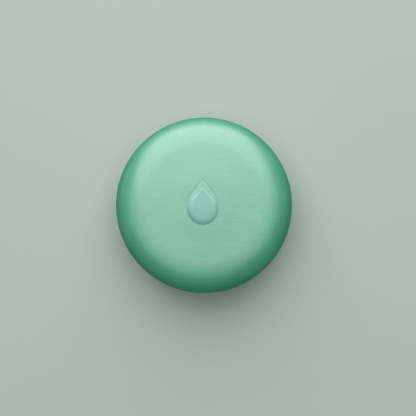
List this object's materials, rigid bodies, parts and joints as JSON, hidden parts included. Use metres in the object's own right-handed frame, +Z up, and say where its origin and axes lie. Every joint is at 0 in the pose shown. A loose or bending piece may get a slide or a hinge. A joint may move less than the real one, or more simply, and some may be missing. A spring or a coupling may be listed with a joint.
{
  "type": "shaving soap puck",
  "caption": "Round puck of pressed shaving soap with a softly rounded edge, a low crown and a raised drop of a second soap set into its upper face.",
  "frame": {"origin": "middle of the flat underside, on the surface that the puck rests on", "axes": "+Z up through the middle of the puck, +Y towards the point of the drop, +X to the right of the drop"},
  "size_m": [0.07, 0.07, 0.0269],
  "materials": {
    "mint_soap": "satin",
    "drop_soap": "satin"
  },
  "bodies": {
    "root": {"soap_cake": "mint_soap", "drop_inlay": "drop_soap"}
  },
  "joints": []
}
